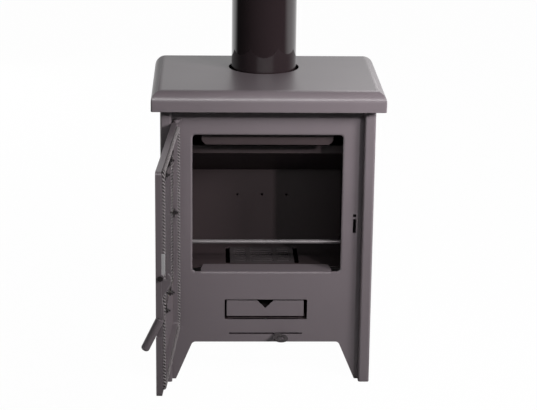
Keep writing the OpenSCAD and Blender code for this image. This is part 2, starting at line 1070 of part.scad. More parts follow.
module hinge_knuckles() {
  placed()
    swung_open()
      color(steel_grey)
        for (z = [door_z, door_top - knuckle_h])
          translate([0, 0, z])
            linear_extrude(height = knuckle_h)
              difference() {
                union() {
                  translate([hinge_x, hinge_y])
                    circle(knuckle_r);
                  rect(-door_half, -door_half + knuckle_foot, skin_back, hinge_y);
                }
                translate([hinge_x, hinge_y])
                  circle(hinge_pin_d / 2 + running);
              }
}

// ---- door ----

module glass_rect(grow, r) {
  rounded_rect(glass_left - grow, glass_right + grow, glass_low - grow, glass_high + grow, r);
}

module door_skin() {
  placed()
    swung_open()
      color(steel_grey)
        difference() {
          upright(door_face, door_d)
            rounded_rect(-door_half, door_half, door_z, door_top, door_r);
          upright(skin_back, door_d)
            rounded_rect(-rim_half, rim_half, rim_low, rim_high, door_r - door_t);
          upright(door_face - over, door_t + 2 * over)
            glass_rect(-glass_lap, 8);
          // slot that the latch lever swings through
          block([latch_x - slot_half, door_face - over, notch_high - over],
            [latch_x + slot_half, skin_back + over, bolt_z + 11]);
          // notch in the free edge for the grip
          block([latch_x - grip_r - seat, door_face - over, notch_low],
            [door_half + over, door_back + over, notch_high]);
          // clearance for the knuckles in the hinge-side rim
          for (z = [door_z - over, door_top - knuckle_h - seat])
            block([-door_half - over, skin_back, z],
              [-door_half + knuckle_foot + seat, door_back + over, z + knuckle_h + over + seat]);
          // hole for the latch bolt
          translate([rim_half - over, bolt_y, bolt_z])
            rotate([0, 90, 0])
              cylinder(h = door_t + 2 * over, r = bolt_r + seat);
        }
}

module glass_gasket() {
  placed()
    swung_open()
      color([0.7, 0.7, 0.68])
        upright(skin_back, gasket_t)
          difference() {
            glass_rect(0, 4);
            glass_rect(-glass_lap, 8);
          }
}

module window_glass() {
  placed()
    swung_open()
      color([0.6, 0.7, 0.75, 0.4])
        upright(glass_front, glass_t)
          glass_rect(0, 4);
}

// each clip: place along the glass edge, and the direction out of the glass
clip_reach = 8;         // from the glass edge to the clip's screw side
clip_w = 14;
clip_t = 1.5;
clip_lap = 5;
clip_x = 50;            // of the upper and lower clips, from the middle of the glass
clip_places = [
  [glass_x - clip_x, glass_high, 0],
  [glass_x + clip_x, glass_high, 0],
  [glass_x - clip_x, glass_low, 180],
  [glass_x + clip_x, glass_low, 180],
  [glass_left, glass_middle, 90],
  [glass_right, glass_middle, -90]
];

module at_clips() {
  for (c = clip_places)
    translate([c[0], 0, c[1]])
      rotate([0, -c[2], 0])
        children();
}

module glass_clips() {
  placed()
    swung_open()
      color(dark_steel)
        at_clips()
          difference() {
            union() {
              block([-clip_w / 2, skin_back, seat], [clip_w / 2, glass_back, clip_reach]);
              block([-clip_w / 2, glass_back, -clip_lap],
                [clip_w / 2, glass_back + clip_t, clip_reach]);
            }
            translate([0, glass_back + clip_t + over, clip_reach / 2])
              rotate([90, 0, 0])
                cylinder(h = glass_back + clip_t + 2 * over, r = clip_screw_r + seat);
          }
}

clip_screw_r = 1.8;
clip_nut_r = 4;
clip_nut_h = 3;
clip_screw_end = recess - 1.5;  // the stud's end stays clear of the front panel

// studs on the door's plate, each with a nut that holds a clip down
module clip_screws() {
  placed()
    swung_open()
      color(dark_steel)
        at_clips()
          translate([0, clip_screw_end, clip_reach / 2])
            rotate([90, 0, 0]) {
              cylinder(h = clip_screw_end - skin_back, r = clip_screw_r);
              translate([0, 0, clip_screw_end - glass_back - clip_t - clip_nut_h])
                cylinder(h = clip_nut_h, r = clip_nut_r, $fn = 6);
            }
}

// base and lips that hold the rope; elsewhere the door's rim is the outer lip
module inside_rope(inset) {
  rounded_rect(rope_left + inset, rope_right - inset, rope_low + inset, rope_high - inset,
    rope_bend - inset);
}

module rope_channel() {
  inner = rope_r + seat;
  placed()
    swung_open()
      color(steel_grey) {
        upright(skin_back, lip_t)
          difference() {
            rounded_rect(-door_half + knuckle_foot, lip_right, rim_low, rim_high,
              door_r - door_t);
            inside_rope(inner + lip_t);
          }
        upright(skin_back + lip_t, lip_back - skin_back - lip_t)
          difference() {
            inside_rope(inner);
            inside_rope(inner + lip_t);
          }
        block([rope_right + inner, skin_back, rim_low + door_r], [lip_right, lip_back, rim_high - door_r]);
      }
}

// one closed loop of round section
module rope_seal() {
  wide = rope_right - rope_left - 2 * rope_bend;
  tall = rope_high - rope_low - 2 * rope_bend;
  placed()
    swung_open()
      color([0.3, 0.3, 0.3])
        translate([0, rope_y, 0]) {
          for (x = [rope_left, rope_right])
            translate([x, 0, rope_low + rope_bend])
              cylinder(h = tall, r = rope_r);
          for (z = [rope_low, rope_high])
            translate([rope_left + rope_bend, 0, z])
              rotate([0, 90, 0])
                cylinder(h = wide, r = rope_r);
          for (c = [[rope_right, rope_high, -1, -1, 0], [rope_left, rope_high, 1, -1, 90],
              [rope_left, rope_low, 1, 1, 180], [rope_right, rope_low, -1, 1, 270]])
            translate([c[0] + c[2] * rope_bend, 0, c[1] + c[3] * rope_bend])
              rotate([90, 0, 0])
                rotate([0, 0, c[4]])
                  rotate_extrude(angle = 90)
                    translate([rope_bend, 0])
                      circle(rope_r);
        }
}

// ---- latch ----

module latch_bracket() {
  placed()
    swung_open()
      color(zinc)
        sideways(ear_x, ear_t)
          difference() {
            union() {
              rect(skin_back, 17, bolt_z + 6, bolt_z + 43);
              rect(skin_back, 16, bolt_z - 10, bolt_z + 6);
            }
            translate([bolt_y, bolt_z])
              circle(bolt_r + seat);
          }
}

module latch_bolt() {
  left = ear_x;
  placed()
    swung_open()
      color(dark_steel)
        translate([0, bolt_y, bolt_z])
          rotate([0, 90, 0]) {
            translate([0, 0, left])
              cylinder(h = door_half - left, r = bolt_r);
            translate([0, 0, door_half])
              cylinder(h = bolt_head_h, r = bolt_head_r, $fn = 6);
            translate([0, 0, left - 2.6])
              cylinder(h = 2.6, r = 5, $fn = 6);
          }
}

// hook, arm and tang, cut from one plate
module lever_profile() {
  eye = [bolt_y, bolt_z];
  back = recess + plate_t + 1.5;
  floor = strike_z - strike_t / 2 - 0.5;
  difference() {
    union() {
      translate(eye)
        circle(eye_r);
      // hook that reaches under the strike bar and rises behind it
      polygon([
        [bolt_y, bolt_z - eye_r + 0.2],
        [bolt_y + 3, floor],
        [back, floor],
        [back, bolt_z + 7],
        [back + 1.5, bolt_z + 7.5],
        [back + 4, bolt_z + 4],
        [back + 5.5, bolt_z - 3],
        [back + 5, bolt_z - 12],
        [back, bolt_z - 19],
        [12.6, bolt_z - 38],
        [3, bolt_z - 38],
        [3, bolt_z - 4]
      ]);
      polygon([
        [3, bolt_z - 38],
        [12.6, bolt_z - 38],
        [16.3, grip_top_z + 2],
        [grip_top_y, grip_top_z + 3],
        [3, grip_top_z + 12]
      ]);
    }
    translate(eye)
      circle(bolt_r + running);
  }
}

module in_grip_frame() {
  translate([latch_x, grip_top_y, grip_top_z])
    rotate([-grip_lean, 0, 0])
      children();
}

module latch_lever() {
  placed()
    swung_open()
      color(steel_grey) {
        sideways(latch_x - latch_t / 2, latch_t)
          lever_profile();
        // tang that stands on the grip
        in_grip_frame()
          block([-latch_t / 2, -arm_w / 2, 0], [latch_t / 2, arm_w / 2, 8]);
      }
}

module latch_grip() {
  placed()
    swung_open()
      color(steel_grey)
        in_grip_frame()
          mirror([0, 0, 1])
            rotate_extrude() {
              rect(0, grip_r, 0, grip_len - grip_round);
              rect(0, grip_r - grip_round, grip_len - grip_round, grip_len);
              translate([grip_r - grip_round, grip_len - grip_round])
                quarter_disc(grip_round);
            }
}

hood();
side_panel_left();
side_panel_right();
front_panel();
back_panel();
back_screws();
side_spacers();
firebox_side_left();
firebox_side_right();
firebox_back();
firebox_roof();
firebox_floor();
back_liner();
baffle();
baffle_rests();
deflector();
flue_collar();
flue_pipe();
guard_brackets();
grate_ledges();
ash_chamber();
air_box();
drawer_rails();
shutter_bolt();
hinge_plates();
hinge_pins();
door_skin();
hinge_knuckles();
glass_gasket();
window_glass();
glass_clips();
clip_screws();
rope_channel();
rope_seal();
latch_bracket();
latch_bolt();
latch_lever();
latch_grip();
ash_pan();
drawer_front();
air_shutter();
log_guard();
grate();
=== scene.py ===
import bpy
import json
import math
from mathutils import Matrix, Vector


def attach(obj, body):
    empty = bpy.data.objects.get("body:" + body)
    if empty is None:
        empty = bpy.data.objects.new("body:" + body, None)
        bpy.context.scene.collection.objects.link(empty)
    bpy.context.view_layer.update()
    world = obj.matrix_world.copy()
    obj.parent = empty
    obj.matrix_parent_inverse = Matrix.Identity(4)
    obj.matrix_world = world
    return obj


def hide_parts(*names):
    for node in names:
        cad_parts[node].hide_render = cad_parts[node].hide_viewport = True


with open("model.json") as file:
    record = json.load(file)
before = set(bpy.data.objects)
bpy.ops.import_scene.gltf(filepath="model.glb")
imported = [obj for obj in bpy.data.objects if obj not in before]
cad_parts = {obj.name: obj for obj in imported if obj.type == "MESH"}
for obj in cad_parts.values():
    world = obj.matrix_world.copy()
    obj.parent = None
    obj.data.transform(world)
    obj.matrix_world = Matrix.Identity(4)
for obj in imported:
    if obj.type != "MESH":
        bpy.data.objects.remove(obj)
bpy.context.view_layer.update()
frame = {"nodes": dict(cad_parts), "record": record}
print("stage: frame loaded")

# places below are in mm from the middle of the front flanges, which lies here, in metres
shift = Vector((0.004863054, 0.030407602, 0.0))
mm = 0.001

door = {
    "hinge": (-180, 7),
    "open": 93.7,    # degrees from shut to where it stands
}


def place(x, y, z):
    return Vector((x, y, z)) * mm + shift


def deselectAll():
    if bpy.context.object and bpy.context.object.mode != "OBJECT":
        bpy.ops.object.mode_set(mode="OBJECT")
    bpy.ops.object.select_all(action="DESELECT")


def makeActive(piece):
    deselectAll()
    piece.select_set(True)
    bpy.context.view_layer.objects.active = piece


def settle(piece):
    makeActive(piece)
    bpy.ops.object.transform_apply(location=True, rotation=True, scale=True)


def swingOpen(piece):
    # the door is modelled shut and turned to where it stands
    pivot = place(door["hinge"][0], door["hinge"][1], 0)
    turn = Matrix.Rotation(math.radians(-door["open"]), 4, "Z")
    swing = Matrix.Translation(pivot) @ turn @ Matrix.Translation(-pivot)
    piece.matrix_world = swing @ piece.matrix_world
    settle(piece)


# surface effects

def newGroup(name, inputs, outputs):
    group = bpy.data.node_groups.new(name, "ShaderNodeTree")
    for label, start in inputs:
        socket = group.interface.new_socket(
            label, in_out="INPUT", socket_type="NodeSocketFloat")
        socket.default_value = start
    for label, kind in outputs:
        group.interface.new_socket(label, in_out="OUTPUT", socket_type=kind)
    return group, group.nodes.new("NodeGroupInput"), group.nodes.new("NodeGroupOutput")


def addNode(tree, kind, **settings):
    node = tree.nodes.new(kind)
    for name, value in settings.items():
        setattr(node, name, value)
    return node


def mathNode(tree, operation, first, second):
    node = addNode(tree, "ShaderNodeMath", operation=operation)
    for socket, value in zip(node.inputs, (first, second)):
        if hasattr(value, "is_output"):
            tree.links.new(value, socket)
        else:
            socket.default_value = value
    return node.outputs[0]


def rampNode(tree, value, start, end, low, high):
    node = addNode(tree, "ShaderNodeMapRange", interpolation_type="SMOOTHSTEP")
    limits = {"From Min": start, "From Max": end, "To Min": low, "To Max": high}
    for label, number in limits.items():
        node.inputs[label].default_value = number
    tree.links.new(value, node.inputs["Value"])
    return node.outputs["Result"]


sprayedGrain = {
    "fineShare": 0.35,    # how much of the tone comes from the grain, the rest is drift
    "slowShare": 0.65,
    "fineDetail": 3.0,
    "slowDetail": 2.0,
    "rise": 0.0003,       # height of the grain, in metres
    "plainIor": 1.5,
    "glossyIor": 1.6,     # of the paints whose shine is above the plain one
    "plainShine": 0.5,
}


def makeGrainGroup():
    # fine sprayed grain over a slow drift of tone, both in real sizes
    group, given, result = newGroup(
        "sprayedGrain",
        [("Grain per m", 900.0), ("Drift per m", 7.0),
         ("Roughness", 0.45), ("Roughness Change", 0.08)],
        [("Tone", "NodeSocketFloat"), ("Roughness", "NodeSocketFloat"),
         ("Height", "NodeSocketFloat")],
    )
    where = addNode(group, "ShaderNodeTexCoord")
    grain = addNode(group, "ShaderNodeTexNoise")
    drift = addNode(group, "ShaderNodeTexNoise")
    grain.inputs["Detail"].default_value = sprayedGrain["fineDetail"]
    drift.inputs["Detail"].default_value = sprayedGrain["slowDetail"]
    for noise, label in ((grain, "Grain per m"), (drift, "Drift per m")):
        group.links.new(where.outputs["Object"], noise.inputs["Vector"])
        group.links.new(given.outputs[label], noise.inputs["Scale"])
    fine = mathNode(group, "MULTIPLY", grain.outputs["Fac"], sprayedGrain["fineShare"])
    slow = mathNode(group, "MULTIPLY", drift.outputs["Fac"], sprayedGrain["slowShare"])
    tone = mathNode(group, "ADD", fine, slow)
    spread = mathNode(group, "SUBTRACT", tone, 0.5)
    change = mathNode(group, "MULTIPLY", spread, given.outputs["Roughness Change"])
    rough = mathNode(group, "ADD", change, given.outputs["Roughness"])
    group.links.new(tone, result.inputs["Tone"])
    group.links.new(rough, result.inputs["Roughness"])
    group.links.new(grain.outputs["Fac"], result.inputs["Height"])
    return group


grainGroup = makeGrainGroup()


def startMaterial(name):
    material = bpy.data.materials.new(name)
    material.use_nodes = True
    return material, material.node_tree, material.node_tree.nodes["Principled BSDF"]


def grainMaterial(name, dark, light, grain, drift, roughness, change, bump,
                  metallic=0.0, coat=0.0, shine=sprayedGrain["plainShine"]):
    material, tree, shader = startMaterial(name)
    effect = addNode(tree, "ShaderNodeGroup", node_tree=grainGroup)
    effect.inputs["Grain per m"].default_value = grain
    effect.inputs["Drift per m"].default_value = drift
    effect.inputs["Roughness"].default_value = roughness
    effect.inputs["Roughness Change"].default_value = change
    mix = addNode(tree, "ShaderNodeMix", data_type="RGBA")
    mix.inputs[6].default_value = (*dark, 1)     # inputs 6 and 7 are its two colours
    mix.inputs[7].default_value = (*light, 1)
    tree.links.new(effect.outputs["Tone"], mix.inputs[0])
    tree.links.new(mix.outputs[2], shader.inputs["Base Color"])
    tree.links.new(effect.outputs["Roughness"], shader.inputs["Roughness"])
    raised = addNode(tree, "ShaderNodeBump")
    raised.inputs["Strength"].default_value = bump
    raised.inputs["Distance"].default_value = sprayedGrain["rise"]
    tree.links.new(effect.outputs["Height"], raised.inputs["Height"])
    tree.links.new(raised.outputs["Normal"], shader.inputs["Normal"])
    shader.inputs["Metallic"].default_value = metallic
    shader.inputs["Coat Weight"].default_value = coat
    shader.inputs["Specular IOR Level"].default_value = shine
    glossy = shine > sprayedGrain["plainShine"]
    shader.inputs["IOR"].default_value = sprayedGrain["glossyIor" if glossy else "plainIor"]
    return material


finishes = {
    # the tones are the ends of the slow drift, grain and drift are counted per metre
    "casingPaint": {
        "dark": (0.082, 0.068, 0.0745), "light": (0.098, 0.0825, 0.0905), "grain": 1100,
        "drift": 6, "roughness": 0.37, "change": 0.10, "bump": 0.10, "shine": 1.0},
    "fireboxPaint": {
        "dark": (0.022, 0.0155, 0.0168), "light": (0.030, 0.022, 0.0235), "grain": 900,
        "drift": 9, "roughness": 0.50, "change": 0.14, "bump": 0.16},
    "flueEnamel": {
        "dark": (0.0085, 0.0055, 0.0062), "light": (0.012, 0.008, 0.009), "grain": 300,
        "drift": 14, "roughness": 0.05, "change": 0.02, "bump": 0.004, "coat": 0.4},
    "castIron": {
        "dark": (0.022, 0.018, 0.019), "light": (0.040, 0.034, 0.036), "grain": 420,
        "drift": 30, "roughness": 0.50, "change": 0.20, "bump": 0.55},
    "leverSteel": {
        "dark": (0.17, 0.155, 0.16), "light": (0.26, 0.24, 0.245), "grain": 700,
        "drift": 40, "roughness": 0.32, "change": 0.12, "bump": 0.02, "metallic": 0.6},
    "zincPlate": {
        "dark": (0.42, 0.41, 0.42), "light": (0.66, 0.65, 0.66), "grain": 500,
        "drift": 60, "roughness": 0.34, "change": 0.20, "bump": 0.06, "metallic": 0.55},
    "gasketTape": {
        "dark": (0.060, 0.048, 0.040), "light": (0.125, 0.105, 0.088), "grain": 800,
        "drift": 50, "roughness": 0.9, "change": 0.05, "bump": 0.6},
    # the dark end is painted shade between the strands and the light end is the yarn's own tone;
    # the rope's tone follows the crevice ramp below, not the drift
    "ropeYarn": {
        "dark": (0.014, 0.011, 0.012), "light": (0.15, 0.137, 0.140), "grain": 1500,
        "drift": 60, "roughness": 0.85, "change": 0.10, "bump": 0.7},
    "blackSteel": {
        "dark": (0.012, 0.010, 0.011), "light": (0.026, 0.022, 0.023), "grain": 700,
        "drift": 60, "roughness": 0.30, "change": 0.20, "bump": 0.20, "metallic": 0.2},
    "shutterSteel": {
        "dark": (0.016, 0.013, 0.014), "light": (0.034, 0.029, 0.030), "grain": 700,
        "drift": 40, "roughness": 0.20, "change": 0.10, "bump": 0.05, "metallic": 0.3,
        "shine": 1.0},
    # light steel laid on the latch lever's eased edges as a painted highlight
    "edgeHighlightSteel": {
        "dark": (0.30, 0.285, 0.29), "light": (0.52, 0.50, 0.505), "grain": 900,
        "drift": 60, "roughness": 0.30, "change": 0.15, "bump": 0.05, "metallic": 0.5},
}
coats = {name: grainMaterial(name, **values) for name, values in finishes.items()}

# where the painted crevice shade gives way to the yarn's own tone
paintedCreviceShade = {"dark": 0.86, "light": 1.0}    # share of the rope's radius


def paintCreviceShade(material):
    # painted shade: dark between the strands where the shade falls, and the yarn's own light tone
    # on top, from the height kept on the rope's own points
    tree = material.node_tree
    height = addNode(tree, "ShaderNodeAttribute", attribute_name="raised")
    mix = next(node for node in tree.nodes if node.bl_idname == "ShaderNodeMix")
    share = rampNode(tree, height.outputs["Fac"], paintedCreviceShade["dark"], paintedCreviceShade["light"], 0, 1)
    tree.links.new(share, mix.inputs[0])


paintCreviceShade(coats["ropeYarn"])


def makeGlass():
    material, tree, shader = startMaterial("windowGlass")
    shader.inputs["Base Color"].default_value = (0.93, 0.95, 0.94, 1)
    shader.inputs["Roughness"].default_value = 0.02
    shader.inputs["IOR"].default_value = 1.47
    shader.inputs["Transmission Weight"].default_value = 1.0
    return material


slotMaterials = {
    "casing_paint": coats["casingPaint"],
    "firebox_steel": coats["fireboxPaint"],
    "flue_enamel": coats["flueEnamel"],
    "grate_iron": coats["castIron"],
    "lever_steel": coats["leverSteel"],
    "zinc": coats["zincPlate"],
    "black_steel": coats["blackSteel"],
    "glass": makeGlass(),
    "gasket": coats["gasketTape"],
    "rope": coats["ropeYarn"],
}


def paint(piece, material):
    piece.data.materials.clear()
    piece.data.materials.append(material)


nodeSlots = {row["node"]: row["material_slot"] for row in frame["record"]["subparts"]}
nodeBodies = {node: body
              for body, nodes in frame["record"]["behaviour"]["bodies"].items()
              for node in nodes}
for nodeName, nodeObject in frame["nodes"].items():
    paint(nodeObject, slotMaterials[nodeSlots[nodeName]])
print("stage: materials on the nodes")


def finishPiece(piece, body, slotName, *replaced):
    paint(piece, slotMaterials[slotName])
    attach(piece, body)
    if replaced:
        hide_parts(*replaced)


# plate with eased edges

easedPlates = {
    "widths": {  # edge radius of each pressed or cut piece, in mm
        "hood": 0.7, "side_panel_left": 0.5, "side_panel_right": 0.5, "front_panel": 0.6,
        "back_panel": 0.5, "door_skin": 0.5, "drawer_front": 0.5, "air_shutter": 0.5,
        "latch_lever": 0.9, "latch_bracket": 0.3, "hinge_plates": 0.6, "deflector": 0.5,
        "baffle": 0.6, "back_liner": 0.6, "guard_brackets": 0.7, "grate": 0.9,
        "rope_channel": 0.3, "glass_clips": 0.35, "ash_pan": 0.3, "log_guard": 0.8,
        "latch_bolt": 0.5, "shutter_bolt": 0.6, "flue_pipe": 0.4, "glass_gasket": 0.25,
        "firebox_floor": 0.5, "air_box": 0.4, "ash_chamber": 0.4,
    },
    "angle": 32,      # an edge that turns more than this is eased, in degrees
    "steps": 2,
    "sharp": 35,      # and one that turns more than this stays a crease
    "flat": 0.5,      # faces within this are one face
    "merge": 1e-6,    # points this near are one point, in metres
    "ownMaterial": {"air_shutter": coats["shutterSteel"]},
    "paintedEdgeHighlights": {"latch_lever": coats["edgeHighlightSteel"]},    # painted highlight: light steel on the lever's eased edges
}


mouthEdge = {
    # the rolled edge round the firebox opening, in mm
    "face": 18, "depth": 2.8, "reach": 4.8, "steps": 5,
    "low": (-147.5, 227.5), "high": (147.5, 509.0),    # its edges lie between these corners
    "foldEnd": 140.2, "foldTop": 229,    # the bottom edge inside these is the folded tongue
    "middle": (0, 18, 368.25), "halfWidth": 147,
    "onFace": 0.02,              # an edge this near to the face lies in it
    "wall": 0.3, "front": 0.9,   # how much a wall of the opening and the face look forward
}


def roundMouth(piece):
    low, high = mouthEdge["low"], mouthEdge["high"]
    bpy.ops.object.mode_set(mode="EDIT")
    bpy.ops.mesh.select_mode(type="EDGE")
    bpy.ops.mesh.select_all(action="DESELECT")
    bpy.ops.object.mode_set(mode="OBJECT")
    spots = [(v.co - shift) / mm for v in piece.data.vertices]
    flat = {}
    for face in piece.data.polygons:
        for key in face.edge_keys:
            flat.setdefault(key, []).append(abs(face.normal.y))
    for edge in piece.data.edges:
        ends = [spots[i] for i in edge.vertices]
        middle = (ends[0] + ends[1]) / 2
        inside = all(
            abs(e.y - mouthEdge["face"]) < mouthEdge["onFace"]
            and low[0] < e.x < high[0] and low[1] < e.z < high[1] for e in ends)
        tongue = middle.z < mouthEdge["foldTop"] and abs(middle.x) < mouthEdge["foldEnd"]
        corner = (min(flat[edge.key]) < mouthEdge["wall"]
                  and max(flat[edge.key]) > mouthEdge["front"])
        edge.select = inside and corner and not tongue
    bpy.ops.object.mode_set(mode="EDIT")
    bpy.ops.mesh.bevel(
        offset=mouthEdge["depth"] * mm, segments=mouthEdge["steps"], affect="EDGES")
    bpy.ops.object.mode_set(mode="OBJECT")
    # the new rings are spread, so that the roll is wider than the plate is thick
    chosen = [v.index for v in piece.data.vertices if v.select]
    rings = {}
    for index in chosen:
        spot = (piece.data.vertices[index].co - shift) / mm
        rings.setdefault(round(spot.y, 2), []).append(index)
    for ring, members in rings.items():
        deeper = (ring - mouthEdge["face"]) / mouthEdge["depth"]
        out = 1 - math.sqrt(max(0.0, 1 - (1 - min(1.0, deeper)) ** 2))
        now = mouthEdge["halfWidth"] + out * mouthEdge["depth"]
        then = mouthEdge["halfWidth"] + out * mouthEdge["reach"]
        bpy.ops.object.mode_set(mode="EDIT")
        bpy.ops.mesh.select_mode(type="VERT")
        bpy.ops.mesh.select_all(action="DESELECT")
        bpy.ops.object.mode_set(mode="OBJECT")
        for index in members:
            piece.data.vertices[index].select = True
        bpy.ops.object.mode_set(mode="EDIT")
        grow = then / now
        bpy.ops.transform.resize(
            value=(grow, 1, grow), center_override=place(*mouthEdge["middle"]))
        bpy.ops.object.mode_set(mode="OBJECT")


def easedCopy(nodeName, width):
    source = frame["nodes"][nodeName]
    piece = source.copy()
    piece.data = source.data.copy()
    piece.name = nodeName + "_eased"
    for key in list(piece.keys()):
        del piece[key]
    piece.parent = None
    piece.matrix_world = source.matrix_world
    while len(piece.data.materials) < 2:    # the second one marks the eased edges
        piece.data.materials.append(coats["casingPaint"])
    bpy.context.scene.collection.objects.link(piece)
    settle(piece)
    bpy.ops.object.mode_set(mode="EDIT")
    bpy.ops.mesh.select_all(action="SELECT")
    bpy.ops.mesh.remove_doubles(threshold=easedPlates["merge"])
    bpy.ops.mesh.dissolve_limited(angle_limit=math.radians(easedPlates["flat"]))
    bpy.ops.object.mode_set(mode="OBJECT")
    if nodeName == "front_panel":
        roundMouth(piece)
    bevel = piece.modifiers.new("easedEdge", "BEVEL")
    bevel.width = width * mm
    bevel.segments = easedPlates["steps"]
    bevel.limit_method = "ANGLE"
    bevel.angle_limit = math.radians(easedPlates["angle"])
    bevel.use_clamp_overlap = True
    bevel.material = 1 if nodeName in easedPlates["paintedEdgeHighlights"] else -1
    bpy.ops.object.modifier_apply(modifier=bevel.name)
    # the flat faces keep their own direction and the small ones blend into them
    bpy.ops.object.shade_smooth_by_angle(angle=math.radians(easedPlates["sharp"]))
    level = piece.modifiers.new("flatFaces", "WEIGHTED_NORMAL")
    level.weight = 100
    level.keep_sharp = True
    bpy.ops.object.modifier_apply(modifier=level.name)
    # the eased edge faces that carry the painted highlight
    highlightedFaces = [face.index for face in piece.data.polygons if face.material_index == 1]
    finishPiece(piece, nodeBodies[nodeName], nodeSlots[nodeName], nodeName)
    if nodeName in easedPlates["ownMaterial"]:
        paint(piece, easedPlates["ownMaterial"][nodeName])
    if nodeName in easedPlates["paintedEdgeHighlights"]:
        piece.data.materials.append(easedPlates["paintedEdgeHighlights"][nodeName])
        for index in highlightedFaces:
            piece.data.polygons[index].material_index = 1
    return piece


eased = {name: easedCopy(name, width) for name, width in easedPlates["widths"].items()}
print("stage: eased plates", len(eased))


# rope seal

rope = {
    "left": -169.5, "right": 158.5, "low": 121.3, "high": 529.7,  # middle line, door shut
    "bend": 12,
    "depth": 12.5,       # distance of the middle line behind the flanges
    "strands": 3,
    "strandRadius": 2.45,
    "strandOffset": 2.5,
    "turns": 80,
    "stepsPerTurn": 10,
}


def loopPoint(travel):
    # point and outward direction of the rounded loop, travel from 0 to 1
    bend = rope["bend"]
    wide = rope["right"] - rope["left"] - 2 * bend
    tall = rope["high"] - rope["low"] - 2 * bend
    arc = math.pi / 2 * bend
    runs = [("line", wide, 0), ("arc", arc, 0), ("line", tall, 1), ("arc", arc, 1),
            ("line", wide, 2), ("arc", arc, 2), ("line", tall, 3), ("arc", arc, 3)]
    corners = [(rope["right"] - bend, rope["high"] - bend),
               (rope["right"] - bend, rope["low"] + bend),
               (rope["left"] + bend, rope["low"] + bend),
               (rope["left"] + bend, rope["high"] - bend)]
    left = travel * (2 * wide + 2 * tall + 4 * arc)
    for kind, length, side in runs:
        if left <= length or (side == 3 and kind == "arc"):
            break
        left -= length
    outward = math.pi / 2 - side * math.pi / 2
    centre = corners[side]
    if kind == "arc":
        outward -= left / bend
        start = centre
    else:
        ahead = outward - math.pi / 2
        back = length - left
        start = (centre[0] - math.cos(ahead) * back, centre[1] - math.sin(ahead) * back)
    direction = Vector((math.cos(outward), 0, math.sin(outward)))
    return Vector((start[0], rope["depth"], start[1])) + direction * bend, direction


def makeRope():
    curve = bpy.data.curves.new("ropeSeal", "CURVE")
    curve.dimensions = "3D"
    curve.bevel_depth = rope["strandRadius"] * mm
    curve.bevel_resolution = 1
    count = rope["turns"] * rope["stepsPerTurn"]
    for strand in range(rope["strands"]):
        line = curve.splines.new("POLY")
        line.points.add(count - 1)
        line.use_cyclic_u = True
        for step in range(count):
            point, outward = loopPoint(step / count)
            turn = 2 * math.pi * (step / rope["stepsPerTurn"] + strand / rope["strands"])
            spot = point + rope["strandOffset"] * (
                outward * math.cos(turn) + Vector((0, 1, 0)) * math.sin(turn))
            line.points[step].co = (*place(*spot), 1)
    piece = bpy.data.objects.new("ropeSeal", curve)
    bpy.context.scene.collection.objects.link(piece)
    makeActive(piece)
    bpy.ops.object.convert(target="MESH")
    piece = bpy.context.object
    # the painted shade between the strands follows each point's height over the middle line
    ring = len(piece.data.vertices) // (count * rope["strands"])
    raised = piece.data.attributes.new("raised", "FLOAT", "POINT")
    reach = (rope["strandOffset"] + rope["strandRadius"]) * mm
    for index, vertex in enumerate(piece.data.vertices):
        middle = place(*loopPoint(index // ring % count / count)[0])
        raised.data[index].value = (vertex.co - middle).length / reach
    bpy.ops.object.shade_smooth()
    swingOpen(piece)
    finishPiece(piece, "door", "rope", "rope_seal")


makeRope()
print("stage: rope seal")


# stage, light and camera

studio = {
    # azimuth from straight ahead to the right and height above the level, in degrees
    "lamps": {
        "keyLamp": {"azimuth": 37, "height": 27, "distance": 1.587, "wide": 0.05, "tall": 0.08,
                    "power": 6.1, "aim": (0.12, 0.64), "spread": 95, "mirrored": False},
        "sideLamp": {"azimuth": 56, "height": 27, "distance": 1.6, "wide": 0.4, "tall": 0.25,
                     "power": 10, "aim": (0.36, 0.66), "spread": 90, "mirrored": False},
        "frontLamp": {"azimuth": 4, "height": 32, "distance": 2.2, "wide": 2.2, "tall": 0.30,
                      "power": 7.0, "aim": (0, 0.7), "spread": 120},
        "backLamp": {"azimuth": 150, "height": 40, "distance": 3.0, "wide": 1.4, "tall": 1.0,
                     "power": 14, "aim": (0, 0.35), "spread": 180},
        "rearLamp": {"azimuth": 208, "height": 10, "distance": 3.0, "wide": 1.6, "tall": 1.2,
                     "power": 40, "aim": (0, 0.35), "spread": 180, "mirrored": False},
    },
    "lampsRound": (0, 0, 0.35),    # the point that the lamps' distances start from
    "worldLight": 0.09,
    "darkRoom": 0.03,    # how bright the ceiling and the room behind the camera look in reflections
}
floorLook = {
    # lengths in metres, each pair the start and end of a soft step
    "wide": 60, "drop": 0.0002,
    "shade": 0.55, "roughness": 0.9, "glow": 0.985,
    "whiteNear": (0.7, 1.2),     # reflections see it white this near to the stove
    "sideReach": 0.6,            # that patch reaches further to the sides
    "beside": (-0.25, 0.25),     # and leaves out a wedge in front
    "clear": (0.3, 0.6),
    "behind": (0.1, 1.7), "aside": 0.3,    # behind the stove it is white again
}
worldLook = {
    # directions of a reflection, each pair the start and end of a soft step
    "behind": (0.0, 0.55), "low": (0.45, 0.8), "right": (-0.2, 0.2),
    "leftWall": 0.5, "rightWall": 1.05,
}
camera = {
    "place": (-116.54, -3460.21, 1415.97),
    "turn": -0.03429, "down": 0.2928, "roll": 0.01224,
    "focalPixels": 1847, "pictureWidth": 537, "sensor": 36,
    "near": 0.1, "far": 100,
}


